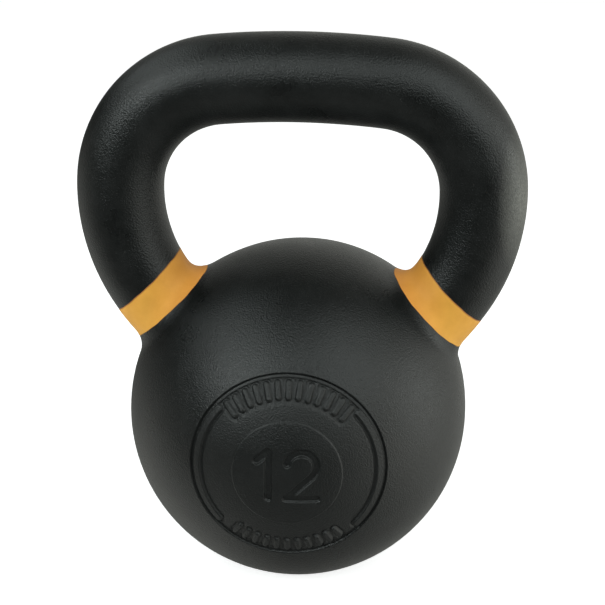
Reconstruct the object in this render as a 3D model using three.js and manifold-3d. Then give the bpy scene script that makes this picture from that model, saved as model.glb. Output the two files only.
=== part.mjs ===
// Cast-iron kettlebell: one casting (ball, two horns and grip bar) and the two colour bands
// painted round the feet of its horns.
// Millimetres, +Z up, the medallion facing -Y. The origin is the middle of the flat base.

import * as THREE from "three";
import { mergeVertices } from "three/addons/utils/BufferGeometryUtils.js";
import Module from "manifold-3d";

// ---------------------------------------------------------------- driving dimensions

// Ball
const BALL_RADIUS = 69.2;
const BASE_DIAMETER = 57; // flat that the bell stands on
const BASE_EDGE = 2.5; // width of the softened edge round it

// Handle: a round bar bent along three arcs, the same on both sides
const GRIP_DIAMETER = 35; // at the middle of the bar
const HORN_DIAMETER = 34.4; // where a horn meets the ball
const HORN_SPREAD = 144; // between the centre lines of the horns, at their widest
const WINDOW_HEIGHT = 50.8; // from the top of the ball to the underside of the bar
const CROWN_RADIUS = 328; // slow arch of the bar
const SHOULDER_RADIUS = 43.4;
const SHOULDER_END = THREE.MathUtils.degToRad(86.8); // heading, 0 along the bar and 90 straight down
const HORN_RADIUS = 71.2;
const HORN_LEAN = THREE.MathUtils.degToRad(133); // heading at which a horn runs straight into the ball

// Blends between horn and ball
const WINDOW_FILLET = 11; // in the corners of the window
const NECK_FILLET = 8; // on the outside

// Colour bands, between two parallel planes square to a leaning axis through the ball's centre
const BAND_LEAN = THREE.MathUtils.degToRad(45); // of that axis, from upright
const BAND_WIDTH = 13.5;
const BAND_RISE = -1.1; // of its lower edge, above the ball's own radius
const BAND_THICKNESS = 0.6;
const BAND_GAP = 0.3; // clearance to its seat, under it and at both edges

// Medallion: a ring groove round a shallow field, a rib left standing at the ball's own level on
// either side of the field, and a low round boss in its middle
const MEDALLION_DIAMETER = 75;
const GROOVE_WIDTH = 1.2;
const GROOVE_DEPTH = 0.9;
const FIELD_DEPTH = 0.65;
const RIB_WIDTH = 2.4;
const RIB_START = THREE.MathUtils.degToRad(49); // from the medallion's top
const RIB_END = THREE.MathUtils.degToRad(131);
const BOSS_DIAMETER = 42;
const BOSS_RISE = 0.38; // over the field
const WALL_DRAFT = 0.3; // by which a wall of the medallion leans, over its depth

// Facets
const COLUMNS = 48; // round the bar, and on over the ball
const CROWN_STEPS = 2;
const SHOULDER_STEPS = 10;
const HORN_STEPS = 6;
const FILLET_STEPS = 4;
const BALL_STEPS = 13;
const REVOLVE_FACETS = 60; // round the medallion and the base
const FIELD_STEPS = 3;
const BOSS_STEPS = 4;
const RIB_STEPS = 12;

// Finish
const BLACK_COAT = { color: 0x2b2d2d, roughness: 0.5, metalness: 0.1 };
const BAND_PAINT = { color: 0xd89b48, roughness: 0.55, metalness: 0 };

// ---------------------------------------------------------------- worked out from them

const EDGE_RADIUS = BASE_DIAMETER / 2 + BASE_EDGE; // where the softened edge meets the ball
const EDGE_SLOPE = Math.tan(Math.asin(EDGE_RADIUS / BALL_RADIUS) / 2); // half the ball's own slope there
const BALL_HEIGHT = Math.sqrt(BALL_RADIUS ** 2 - EDGE_RADIUS ** 2) + BASE_EDGE * EDGE_SLOPE;
const BALL_CENTRE = new THREE.Vector3(0, 0, BALL_HEIGHT);
const BAR_HEIGHT = BALL_HEIGHT + BALL_RADIUS + WINDOW_HEIGHT + GRIP_DIAMETER / 2;
const BAND_AXIS = new THREE.Vector3(Math.sin(BAND_LEAN), 0, Math.cos(BAND_LEAN));
const BAND_MIDDLE = BALL_RADIUS + BAND_RISE + BAND_WIDTH / 2;
const REACH = 2 * (BALL_RADIUS + HORN_SPREAD); // past every face of the bell

// ---------------------------------------------------------------- centre line of the handle

// An arc that turns clockwise from one heading to another; at() takes the way along it.
function arcSegment(start, from, radius, to) {
  const centre = start.clone().sub(new THREE.Vector2(Math.sin(from), Math.cos(from)).multiplyScalar(radius));
  const at = (way) => {
    const heading = from + way / radius;
    const place = new THREE.Vector2(Math.sin(heading), Math.cos(heading)).multiplyScalar(radius).add(centre);
    return { place, heading };
  };
  const length = radius * (to - from);
  return { at, length, end: at(length).place };
}

// The right half, from the middle of the bar: crown, shoulder, horn and a straight run into the
// ball. The crown's share of it is what leaves the horn at its widest.
function handleLine() {
  const widest = HORN_SPREAD / 2;
  const beyond = widest - HORN_RADIUS + (HORN_RADIUS - SHOULDER_RADIUS) * Math.sin(SHOULDER_END);
  const crownEnd = Math.asin(beyond / (CROWN_RADIUS - SHOULDER_RADIUS));
  const crown = arcSegment(new THREE.Vector2(0, BAR_HEIGHT), 0, CROWN_RADIUS, crownEnd);
  const shoulder = arcSegment(crown.end, crownEnd, SHOULDER_RADIUS, SHOULDER_END);
  const horn = arcSegment(shoulder.end, SHOULDER_END, HORN_RADIUS, HORN_LEAN);
  const forward = new THREE.Vector2(Math.cos(HORN_LEAN), -Math.sin(HORN_LEAN));
  const toCentre = new THREE.Vector2(0, BALL_HEIGHT).sub(horn.end);
  const run = {
    at: (way) => ({ place: horn.end.clone().addScaledVector(forward, way), heading: HORN_LEAN }),
    length: toCentre.dot(forward),
  };
  const pieces = [crown, shoulder, horn, run];
  const starts = [0, crown.length, crown.length + shoulder.length];
  starts.push(starts[2] + horn.length);
  const widestAt = starts[2] + HORN_RADIUS * (Math.PI / 2 - SHOULDER_END);
  return { pieces, starts, widestAt, length: starts[3] + run.length };
}

const LINE = handleLine();

function lineAt(way) {
  const last = LINE.starts.findLastIndex((start) => way >= start);
  const index = Math.max(last, 0);
  return LINE.pieces[index].at(way - LINE.starts[index]);
}

// The bar keeps its size along the crown and narrows evenly from there to the foot of the horn.
function barRadius(way) {
  const share = THREE.MathUtils.clamp((way - LINE.starts[1]) / (LINE.starts[3] - LINE.starts[1]), 0, 1);
  return THREE.MathUtils.lerp(GRIP_DIAMETER, HORN_DIAMETER, share) / 2;
}

// A point on the skin of the bar: turn 0 faces the window, and a quarter turn faces -Y.
function barPoint(way, turn) {
  const { place, heading } = lineAt(way);
  const inward = new THREE.Vector3(-Math.sin(heading), 0, -Math.cos(heading));
  return new THREE.Vector3(place.x, 0, place.y)
    .addScaledVector(inward, barRadius(way) * Math.cos(turn))
    .add(new THREE.Vector3(0, -barRadius(way) * Math.sin(turn), 0));
}

// The way at which something falling along the handle reaches zero.
function waySolving(measure, from, to) {
  let low = from;
  let high = to;
  for (let step = 0; step < 60; step += 1) {
    const middle = (low + high) / 2;
    if (measure(middle) > 0) low = middle;
    else high = middle;
  }
  return (low + high) / 2;
}

const aboveBall = (point) => point.distanceTo(BALL_CENTRE) - BALL_RADIUS;

// ---------------------------------------------------------------- where the horn meets the ball

// The pole is where the handle's centre line enters the ball; points of the ball are given by
// their angle from the pole and by the turn of the column they belong to.
function hornPole() {
  const centreLine = (way) => {
    const { place } = lineAt(way);
    return new THREE.Vector3(place.x, 0, place.y);
  };
  const way = waySolving((at) => aboveBall(centreLine(at)), LINE.widestAt, LINE.length);
  const pole = centreLine(way).sub(BALL_CENTRE).normalize();
  return { pole, lean: Math.atan2(pole.x, pole.z) };
}

const { pole: POLE, lean: POLE_LEAN } = hornPole();
const POLE_INWARD = new THREE.Vector3(-Math.cos(POLE_LEAN), 0, Math.sin(POLE_LEAN));
const FRONTWARD = new THREE.Vector3(0, -1, 0);

function awayFromPole(turn) {
  return POLE_INWARD.clone().multiplyScalar(Math.cos(turn)).addScaledVector(FRONTWARD, Math.sin(turn));
}

function ballPoint(angle, turn) {
  const spot = POLE.clone().multiplyScalar(Math.cos(angle)).addScaledVector(awayFromPole(turn), Math.sin(angle));
  return spot.multiplyScalar(BALL_RADIUS).add(BALL_CENTRE);
}

function ballTangent(angle, turn) {
  return POLE.clone().multiplyScalar(-Math.sin(angle)).addScaledVector(awayFromPole(turn), Math.cos(angle));
}

function barTangent(way, turn) {
  const step = 0.05;
  return barPoint(way, turn).sub(barPoint(way - step, turn)).normalize();
}

// Each column has its own blend: a cubic curve that leaves the horn along the column and lands
// on the ball along it, with the tangent lengths of a round fillet.
function columnBlend(turn) {
  const entry = waySolving((way) => aboveBall(barPoint(way, turn)), LINE.widestAt, LINE.length);
  const entryAngle = barPoint(entry, turn).sub(BALL_CENTRE).normalize().angleTo(POLE);
  const corner = barTangent(entry, turn).angleTo(ballTangent(entryAngle, turn));
  const towardWindow = (1 + Math.cos(turn)) / 2;
  const setback = THREE.MathUtils.lerp(NECK_FILLET, WINDOW_FILLET, towardWindow) * Math.tan(corner / 2);
  const leave = entry - setback;
  const land = entryAngle + setback / BALL_RADIUS;
  const bend = barTangent(leave, turn).angleTo(ballTangent(land, turn));
  const handle = ((4 / 3) * Math.tan(bend / 4) * setback) / Math.tan(bend / 2);
  const from = barPoint(leave, turn);
  const to = ballPoint(land, turn);
  const curve = new THREE.CubicBezierCurve3(
    from,
    from.clone().addScaledVector(barTangent(leave, turn), handle),
    to.clone().addScaledVector(ballTangent(land, turn), -handle),
    to,
  );
  return { leave, land, curve };
}

// ---------------------------------------------------------------- skin of the right half

// Columns are spread so that they cross the middle of the ball at even steps.
function columnTurns() {
  const turns = [];
  for (let column = 0; column < COLUMNS; column += 1) {
    const angle = (2 * Math.PI * column) / COLUMNS;
    turns.push(Math.atan2(Math.sin(angle), Math.cos(angle) * Math.sin(POLE_LEAN)));
  }
  return turns;
}

function evenSteps(from, to, steps) {
  return Array.from({ length: steps }, (_, step) => THREE.MathUtils.lerp(from, to, (step + 1) / steps));
}

// One column, from the middle of the bar down the horn, over the blend and round the ball to the
// plane in which the two halves meet.
function skinColumn(turn) {
  const blend = columnBlend(turn);
  const ways = [
    0,
    ...evenSteps(0, LINE.starts[1], CROWN_STEPS),
    ...evenSteps(LINE.starts[1], LINE.starts[2], SHOULDER_STEPS),
    ...evenSteps(LINE.starts[2], LINE.widestAt, 1),
    ...evenSteps(LINE.widestAt, blend.leave, HORN_STEPS),
  ];
  const middle = Math.atan2(Math.sin(POLE_LEAN), Math.cos(POLE_LEAN) * Math.cos(turn));
  const column = ways.map((way) => barPoint(way, turn));
  column.push(...evenSteps(0, 1, FILLET_STEPS).map((share) => blend.curve.getPoint(share)));
  column.push(...evenSteps(blend.land, middle, BALL_STEPS).map((angle) => ballPoint(angle, turn)));
  column.at(0).x = 0;
  column.at(-1).x = 0;
  return column;
}

const SKIN = columnTurns().map(skinColumn); // SKIN[column][row]
const ROWS = SKIN[0].length;
const FILLET_END = ROWS - 1 - BALL_STEPS; // row on which the blend lands on the ball

// The skin's rows between two limits, sunk by some depth along the skin's own normals.
function sunkRows(firstRow, lastRow, depth) {
  const rows = [];
  for (let row = firstRow; row <= lastRow; row += 1) {
    rows.push(SKIN.map((column, index) => {
      const next = SKIN[(index + 1) % COLUMNS][row];
      const previous = SKIN[(index + COLUMNS - 1) % COLUMNS][row];
      const along = column[row + 1].clone().sub(column[row - 1]);
      const normal = along.cross(next.clone().sub(previous)).normalize();
      return column[row].clone().addScaledVector(normal, -depth);
    }));
  }
  return rows;
}

// ---------------------------------------------------------------- solids

const wasm = await Module();
wasm.setup();

function toSolid(geometry) {
  geometry.deleteAttribute("normal");
  geometry.deleteAttribute("uv");
  const merged = mergeVertices(geometry, 1e-4);
  const mesh = new wasm.Mesh({
    numProp: 3,
    vertProperties: new Float32Array(merged.attributes.position.array),
    triVerts: new Uint32Array(merged.index.array),
  });
  return new wasm.Manifold(mesh);
}

function toGeometry(solid) {
  const { vertProperties, triVerts } = solid.getMesh();
  const geometry = new THREE.BufferGeometry();
  geometry.setAttribute("position", new THREE.BufferAttribute(vertProperties, 3));
  geometry.setIndex(new THREE.BufferAttribute(triVerts, 1));
  geometry.computeVertexNormals();
  return geometry;
}

function meshedGeometry(points, triangles) {
  const geometry = new THREE.BufferGeometry().setFromPoints(points);
  geometry.setIndex(triangles);
  return geometry;
}

// Triangles between rings of points, closed round each ring; wrapped also joins last to first.
function ringTriangles(ringCount, wrapped) {
  const triangles = [];
  const bands = wrapped ? ringCount : ringCount - 1;
  for (let ring = 0; ring < bands; ring += 1) {
    for (let column = 0; column < COLUMNS; column += 1) {
      const next = (column + 1) % COLUMNS;
      const here = ring * COLUMNS;
      const there = ((ring + 1) % ringCount) * COLUMNS;
      triangles.push(here + column, there + next, here + next);
      triangles.push(here + column, there + column, there + next);
    }
  }
  return triangles;
}

// Ball and handle as one closed skin: the right half and its mirror image.
function bellBlank() {
  const row = (index, side) => SKIN.map((column) => column[index].clone().multiply(side));
  const right = new THREE.Vector3(1, 1, 1);
  const left = new THREE.Vector3(-1, 1, 1);
  const rings = [];
  for (let index = 0; index < ROWS; index += 1) rings.push(row(index, right));
  for (let index = ROWS - 2; index > 0; index -= 1) rings.push(row(index, left));
  return toSolid(meshedGeometry(rings.flat(), ringTriangles(rings.length, true)));
}

// The core of the right horn, from above the colour band down into the ball.
function hornCore(depth) {
  const firstRow = FILLET_END - FILLET_STEPS - HORN_STEPS;
  const rings = sunkRows(firstRow, FILLET_END + 1, depth);
  const points = rings.flat();
  const triangles = ringTriangles(rings.length, false);
  const lastRing = (rings.length - 1) * COLUMNS;
  const capCentre = (ring) => ring.reduce((sum, point) => sum.add(point), new THREE.Vector3()).divideScalar(COLUMNS);
  const top = points.push(capCentre(rings.at(0))) - 1;
  const bottom = points.push(capCentre(rings.at(-1))) - 1;
  for (let column = 0; column < COLUMNS; column += 1) {
    const next = (column + 1) % COLUMNS;
    triangles.push(top, column, next);
    triangles.push(bottom, lastRing + next, lastRing + column);
  }
  return toSolid(meshedGeometry(points, triangles));
}

// A disc round the horn that reaches from edge to edge of the band, and past it by a margin.
function bandSlab(margin) {
  const alongAxis = (place) => new THREE.Vector3(place.x, 0, place.y).sub(BALL_CENTRE).dot(BAND_AXIS);
  const way = waySolving((at) => alongAxis(lineAt(at).place) - BAND_MIDDLE, LINE.widestAt, LINE.length);
  const { place } = lineAt(way);
  const radius = HORN_DIAMETER / 2 + WINDOW_FILLET;
  const slab = new THREE.CylinderGeometry(radius, radius, BAND_WIDTH + 2 * margin, COLUMNS / 2);
  slab.rotateX(Math.PI / 2);
  slab.rotateY(BAND_LEAN);
  slab.translate(place.x, 0, place.y);
  return toSolid(slab);
}

function rightBand() {
  return bandSlab(0).intersect(hornCore(0)).subtract(hornCore(BAND_THICKNESS));
}

function rightBandSeat() {
  return bandSlab(BAND_GAP).subtract(hornCore(BAND_THICKNESS + BAND_GAP));
}

function mirrored(solid) {
  const geometry = toGeometry(solid).scale(-1, 1, 1);
  const triangles = geometry.index.array;
  for (let corner = 0; corner < triangles.length; corner += 3) {
    [triangles[corner], triangles[corner + 1]] = [triangles[corner + 1], triangles[corner]];
  }
  return toSolid(geometry);
}

// ---------------------------------------------------------------- medallion

// A profile given as [angle from the medallion's axis, distance from the ball's centre]. The first
// facet starts at some turn, so that two revolved walls can cross without sharing their edges.
function revolvedOnFront(profile, turn) {
  const points = profile.map(([angle, reach]) => new THREE.Vector2(reach * Math.sin(angle), reach * Math.cos(angle)));
  const geometry = new THREE.LatheGeometry(points, REVOLVE_FACETS, turn);
  geometry.rotateX(Math.PI);
  geometry.translate(...BALL_CENTRE);
  return toSolid(geometry);
}

const surfaceAngle = (radius) => Math.asin(radius / BALL_RADIUS);

function ringGroove() {
  const outside = MEDALLION_DIAMETER / 2;
  const clear = BALL_RADIUS + GROOVE_DEPTH;
  const floor = BALL_RADIUS - GROOVE_DEPTH;
  return revolvedOnFront([
    [surfaceAngle(outside - GROOVE_WIDTH - WALL_DRAFT), clear],
    [surfaceAngle(outside - GROOVE_WIDTH + WALL_DRAFT), floor],
    [surfaceAngle(outside - WALL_DRAFT), floor],
    [surfaceAngle(outside + WALL_DRAFT), clear],
    [surfaceAngle(outside - GROOVE_WIDTH - WALL_DRAFT), clear],
  ], 0);
}

// The right rib, carried through the front of the ball. The groove trims its outer side.
function rightRib() {
  const outside = MEDALLION_DIAMETER / 2;
  const inside = outside - GROOVE_WIDTH - RIB_WIDTH;
  const angles = [RIB_START, ...evenSteps(RIB_START, RIB_END, RIB_STEPS)];
  const along = (radius, angle) => new THREE.Vector2(radius * Math.sin(angle), radius * Math.cos(angle));
  const outline = [
    ...angles.map((angle) => along(outside, angle)),
    ...angles.reverse().map((angle) => along(inside, angle)),
  ];
  const geometry = new THREE.ExtrudeGeometry(new THREE.Shape(outline), { depth: REACH, bevelEnabled: false });
  geometry.rotateX(Math.PI / 2);
  geometry.translate(...BALL_CENTRE);
  return toSolid(geometry);
}

// The field, as far as the middle of the groove, less the forms that stand in it.
function field() {
  const bossTop = surfaceAngle((BOSS_DIAMETER - WALL_DRAFT) / 2);
  const bossFoot = surfaceAngle((BOSS_DIAMETER + WALL_DRAFT) / 2);
  const edge = surfaceAngle((MEDALLION_DIAMETER - GROOVE_WIDTH) / 2);
  const bossLevel = BALL_RADIUS - FIELD_DEPTH + BOSS_RISE;
  const bossAngles = [0, ...evenSteps(0, bossTop, BOSS_STEPS)];
  const fieldAngles = [bossFoot, ...evenSteps(bossFoot, edge, FIELD_STEPS)];
  const profile = [
    ...bossAngles.map((angle) => [angle, bossLevel]),
    ...fieldAngles.map((angle) => [angle, BALL_RADIUS - FIELD_DEPTH]),
    ...[...bossAngles, ...fieldAngles].reverse().map((angle) => [angle, BALL_RADIUS + FIELD_DEPTH]),
  ];
  const rib = rightRib();
  const halfFacet = Math.PI / REVOLVE_FACETS;
  return revolvedOnFront(profile, halfFacet).subtract(rib).subtract(mirrored(rib));
}

// ---------------------------------------------------------------- assembly

// All that lies below the base and its softened edge.
function groundCut() {
  const profile = [
    new THREE.Vector2(0, -REACH),
    new THREE.Vector2(REACH, -REACH),
    new THREE.Vector2(REACH, (REACH - BASE_DIAMETER / 2) * EDGE_SLOPE),
    new THREE.Vector2(BASE_DIAMETER / 2, 0),
    new THREE.Vector2(0, 0),
  ];
  const geometry = new THREE.LatheGeometry(profile, REVOLVE_FACETS);
  geometry.rotateX(Math.PI / 2);
  return toSolid(geometry);
}

function bellCasting() {
  const seat = rightBandSeat();
  return bellBlank()
    .subtract(groundCut())
    .subtract(seat)
    .subtract(mirrored(seat))
    .subtract(ringGroove())
    .subtract(field());
}

function namedMesh(name, solid, finish) {
  const mesh = new THREE.Mesh(toGeometry(solid), new THREE.MeshStandardMaterial(finish));
  mesh.name = name;
  return mesh;
}

const band = rightBand();
const group = new THREE.Group();
group.add(namedMesh("bell_casting", bellCasting(), BLACK_COAT));
group.add(namedMesh("right_colour_band", band, BAND_PAINT));
group.add(namedMesh("left_colour_band", mirrored(band), BAND_PAINT));

export default group;
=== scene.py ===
# %% [markdown]
# # A cast-iron kettlebell
#
# The object is one pour of iron: a ball that stands on a flat base, two horns and a grip bar. It is
# powder coated in black, and an orange band is painted round the foot of each horn. The CAD model
# holds the sizes and the plain forms. This script draws the surface that a buyer would see and touch:
# the blends, the medallion in low relief, the paint and the coat.
#
# Every surface here is a function of two parameters, worked out on a grid with numpy.

# %% Load the fixed frame
import math

import bpy
import numpy as np
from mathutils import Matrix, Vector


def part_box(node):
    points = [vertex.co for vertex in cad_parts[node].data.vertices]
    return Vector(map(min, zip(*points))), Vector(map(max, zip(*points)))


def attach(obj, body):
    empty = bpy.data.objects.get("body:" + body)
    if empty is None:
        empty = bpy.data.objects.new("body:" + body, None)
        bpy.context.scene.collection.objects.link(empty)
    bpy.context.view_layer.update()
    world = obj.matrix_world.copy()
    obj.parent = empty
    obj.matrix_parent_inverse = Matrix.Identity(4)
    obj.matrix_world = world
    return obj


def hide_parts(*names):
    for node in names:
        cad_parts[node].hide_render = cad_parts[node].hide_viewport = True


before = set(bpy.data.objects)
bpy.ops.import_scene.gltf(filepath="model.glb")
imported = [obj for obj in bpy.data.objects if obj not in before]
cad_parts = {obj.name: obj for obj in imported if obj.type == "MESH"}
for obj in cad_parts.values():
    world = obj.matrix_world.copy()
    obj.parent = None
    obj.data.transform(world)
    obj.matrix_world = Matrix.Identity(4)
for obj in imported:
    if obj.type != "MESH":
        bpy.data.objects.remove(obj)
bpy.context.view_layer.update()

# %% [markdown]
# ## Sizes
#
# Two sizes come from the frame: how far back the casting reaches is the ball's radius, and its top is
# the top of the bar. The others are the driving dimensions of the casting, in metres, as the CAD
# model has them.

# %% Sizes
MM = 0.001
casting_low, casting_high = (np.array(corner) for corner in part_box("bell_casting"))
BALL_RADIUS = casting_high[1]
TOP = casting_high[2]

GRIP_RADIUS = 17.5 * MM
HORN_RADIUS = 17.2 * MM
HORN_SPREAD = 144 * MM
WINDOW_HEIGHT = 50.8 * MM
CROWN_BEND = 328 * MM
SHOULDER_BEND = 43.4 * MM
SHOULDER_END = math.radians(86.8)
HORN_BEND = 71.2 * MM
HORN_LEAN = math.radians(133)
WINDOW_FILLET = 11 * MM
NECK_FILLET = 8 * MM

BAR_HEIGHT = TOP - GRIP_RADIUS
BALL_HEIGHT = BAR_HEIGHT - GRIP_RADIUS - WINDOW_HEIGHT - BALL_RADIUS
BALL_CENTRE = np.array([0, 0, BALL_HEIGHT])
print(f"ball {BALL_RADIUS / MM:.2f} mm in radius, centre {BALL_HEIGHT / MM:.2f} mm up")

# %% [markdown]
# ## The centre line of the handle
#
# A handle like this is drawn with a compass: a long slow arc for the bar, a tight one for the
# shoulder and a wider one for the horn, which then runs straight into the ball. Arcs that share a
# tangent where they meet keep the highlight on the metal unbroken. The line is a function of the way
# travelled along it, so that points can be spread evenly by length.

# %% Centre line
def chain_of_arcs():
    """Starts, headings, bends and ways of the four stretches of the right half.

    The widths of the three arcs add up to half the spread of the horns, which is solved for the sine
    of the heading at which the crown hands over to the shoulder.
    """
    left_over = HORN_SPREAD / 2 - HORN_BEND + (HORN_BEND - SHOULDER_BEND) * math.sin(SHOULDER_END)
    crown_end = math.asin(left_over / (CROWN_BEND - SHOULDER_BEND))
    headings = [0, crown_end, SHOULDER_END, HORN_LEAN]
    bends = [CROWN_BEND, SHOULDER_BEND, HORN_BEND]
    starts, ways = [np.array([0, BAR_HEIGHT])], [0]
    for bend, first, last in zip(bends, headings[:-1], headings[1:]):
        step = bend * np.array([math.sin(last) - math.sin(first), math.cos(last) - math.cos(first)])
        starts.append(starts[-1] + step)
        ways.append(ways[-1] + bend * (last - first))
    return np.array(starts), np.array(headings), np.array(bends + [1.0]), np.array(ways)


STARTS, HEADINGS, BENDS, WAYS = chain_of_arcs()
WIDEST = WAYS[2] + HORN_BEND * (math.pi / 2 - SHOULDER_END)


def centre_line(way):
    """Place and heading at some way along the centre line. On an arc the heading grows by way over
    bend, and the place is the start plus the bend times the change in (sine, cosine) of the heading.
    On the last stretch the heading stays and the place moves along it."""
    piece = np.clip(np.searchsorted(WAYS, way, side="right") - 1, 0, 3)
    along = way - WAYS[piece]
    first, bend, straight = HEADINGS[piece], BENDS[piece], piece == 3
    heading = np.where(straight, first, first + along / bend)
    step_x = np.where(straight, along * np.cos(first), bend * (np.sin(heading) - np.sin(first)))
    step_z = np.where(straight, -along * np.sin(first), bend * (np.cos(heading) - np.cos(first)))
    return STARTS[piece, 0] + step_x, STARTS[piece, 1] + step_z, heading


print("the stretches start", np.round(WAYS / MM, 1), "mm along the handle")
print("half width of the handle", np.round((centre_line(WIDEST)[0] + GRIP_RADIUS) / MM, 2), "mm at most")

# %% [markdown]
# ## The skin of the bar
#
# The bar is round and narrows by a hair from crown to foot. A point on its skin has two parameters:
# the way along the centre line, and the turn round it, 0 towards the window and a quarter turn
# towards the front.

# %% Bar
def bar_radius(way):
    """The grip's radius along the crown, then evenly down to the horn's radius at its foot."""
    share = np.clip((way - WAYS[1]) / (WAYS[3] - WAYS[1]), 0, 1)
    return GRIP_RADIUS + (HORN_RADIUS - GRIP_RADIUS) * share


def bar_skin(way, turn):
    """Centre line plus the radius times (cosine of the turn inward, sine of the turn frontward)."""
    x, z, heading = centre_line(way)
    radius = bar_radius(way)
    inward = radius * np.cos(turn)
    place = [x - inward * np.sin(heading), -radius * np.sin(turn), z - inward * np.cos(heading)]
    return np.stack(place, -1)


def bar_direction(way, turn):
    """Unit vector along the skin, away from the crown: a short step's difference over its length."""
    step = 0.05 * MM
    return unit(bar_skin(way, turn) - bar_skin(way - step, turn))


def unit(vectors):
    """Each vector over its own length."""
    return vectors / np.linalg.norm(vectors, axis=-1, keepdims=True)


def way_solving(measure, low, high):
    """Bisection, on all columns at once: the way at which a falling measure reaches zero."""
    for _ in range(50):
        middle = (low + high) / 2
        above = measure(middle) > 0
        low, high = np.where(above, middle, low), np.where(above, high, middle)
    return (low + high) / 2


# %% [markdown]
# ## The ball, seen from the foot of the horn
#
# Where the centre line enters the ball is the horn's pole. A point of the ball then has an angle from
# the pole and a turn round it, and the turn means the same as on the bar. The columns of the net run
# down the horn and straight on over the ball. They are spread so that they cross the middle of the
# ball at even steps, because the front and the back are what shows.

# %% Ball
COLUMNS = 144


def height_over_ball(points):
    """Distance from the ball's centre, less its radius."""
    return np.linalg.norm(points - BALL_CENTRE, axis=-1) - BALL_RADIUS


def find_pole():
    """Direction from the ball's centre to where the centre line enters the ball."""
    def place(way):
        x, z, _ = centre_line(way)
        return np.stack([x, 0 * x, z], -1)

    closest = WAYS[3] + np.dot([0, BALL_HEIGHT] - STARTS[3], [math.cos(HORN_LEAN), -math.sin(HORN_LEAN)])
    way = way_solving(lambda at: height_over_ball(place(at)), np.array(WIDEST), np.array(closest))
    return unit(place(way) - BALL_CENTRE), closest


POLE, LINE_END = find_pole()
POLE_LEAN = math.atan2(POLE[0], POLE[2])
CROSSINGS = 2 * math.pi * np.arange(COLUMNS) / COLUMNS
TURNS = np.arctan2(np.sin(CROSSINGS), np.cos(CROSSINGS) * math.sin(POLE_LEAN))
AWAY = (np.cos(TURNS)[:, None] * [-math.cos(POLE_LEAN), 0, math.sin(POLE_LEAN)]
        + np.sin(TURNS)[:, None] * [0, -1, 0])


def ball_skin(angle):
    """Centre plus the radius times (cosine of the angle poleward, sine of it away from the pole)."""
    return BALL_CENTRE + BALL_RADIUS * (POLE * np.cos(angle)[..., None] + AWAY * np.sin(angle)[..., None])


def ball_direction(angle):
    """The derivative of the point by the angle, which is a unit vector already."""
    return -POLE * np.sin(angle)[..., None] + AWAY * np.cos(angle)[..., None]


print(f"the horn enters the ball {math.degrees(POLE_LEAN):.1f} degrees from the top")

# %% [markdown]
# ## The blends
#
# On the real bell a pattern maker filled the corner between horn and ball with a fillet, wider
# inside the window, where the hand goes, than outside. A rolling-ball fillet could be cut by a
# modifier, but then the net would lose its columns. So each column gets a cubic curve of its own, which
# leaves the horn along the column and lands on the ball along it. Its setback is that of a round
# fillet: the radius times the tangent of half the corner.

# %% Blends
def column_blends():
    """Way of leaving the horn, angle of landing on the ball, and the four points of each cubic."""
    def over_ball(way):
        return height_over_ball(bar_skin(way, TURNS))

    entry = way_solving(over_ball, WIDEST + 0 * TURNS, LINE_END + 0 * TURNS)
    entry_angle = np.arccos(unit(bar_skin(entry, TURNS) - BALL_CENTRE) @ POLE)
    corner = np.arccos((bar_direction(entry, TURNS) * ball_direction(entry_angle)).sum(-1))
    radius = NECK_FILLET + (WINDOW_FILLET - NECK_FILLET) * (1 + np.cos(TURNS)) / 2
    setback = radius * np.tan(corner / 2)
    leave, land = entry - setback, entry_angle + setback / BALL_RADIUS
    out, on = bar_direction(leave, TURNS), ball_direction(land)
    bend = np.arccos((out * on).sum(-1))
    pull = (4 / 3 * np.tan(bend / 4) * setback / np.tan(bend / 2))[:, None]
    start, end = bar_skin(leave, TURNS), ball_skin(land)
    return leave, land, [start, start + pull * out, end - pull * on, end]


LEAVE, LAND, CUBIC = column_blends()


def cubic_curve(points, share):
    """Bernstein's sum: the four points weighted by 1, 3, 3, 1 times powers of share and of its rest."""
    rest = 1 - share
    return sum(k * rest ** (3 - i) * share ** i * p for i, (k, p) in enumerate(zip((1, 3, 3, 1), points)))


print("blends leave the horn", np.round([LEAVE.min() / MM, LEAVE.max() / MM], 1), "mm along the handle")

# %% [markdown]
# ## One net over the whole casting
#
# The right half of the net runs from the middle of the bar to the plane in which the halves meet. Over
# the ball its columns are cubic curves again, from the landing of the blend to a square crossing of
# that plane, pressed onto the sphere. The left half is the mirror image, so the rows close into
# a ring, and the columns do too: the casting has the topology of a ring, as a thing with one window
# does.

# %% Columns
def on_ball(points):
    """Each point pushed along its own ray from the ball's centre until it lies on the ball."""
    return BALL_CENTRE + BALL_RADIUS * unit(points - BALL_CENTRE)


def ball_cubics():
    """Four points per column, from the landing to the middle plane. The pull is what makes a cubic
    follow a circle: 4/3 of the tangent of a quarter of the angle, times the radius."""
    start = ball_skin(LAND)
    end = BALL_CENTRE + BALL_RADIUS * np.stack([0 * CROSSINGS, -np.sin(CROSSINGS), np.cos(CROSSINGS)], -1)
    angle = np.arccos((unit(start - BALL_CENTRE) * unit(end - BALL_CENTRE)).sum(-1))
    pull = (4 / 3 * np.tan(angle / 4) * BALL_RADIUS)[:, None]
    return [start, start + pull * ball_direction(LAND), end + pull * [1, 0, 0], end]


OVER_BALL = ball_cubics()


def column_point(step):
    """The point of each column at a step: 0 to 1 is the horn below its widest place, 1 to 2 the
    blend, and 2 to 3 the ball as far as the middle plane."""
    shares = [np.clip(step - first, 0, 1) for first in (0, 1, 2)]
    horn = bar_skin(WIDEST + (LEAVE - WIDEST) * shares[0], TURNS)
    blend = cubic_curve(CUBIC, shares[1][..., None])
    ball = on_ball(cubic_curve(OVER_BALL, shares[2][..., None]))
    step = np.broadcast_to(step, horn.shape[:-1])[..., None]
    return np.where(step < 1, horn, np.where(step < 2, blend, ball))


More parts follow.
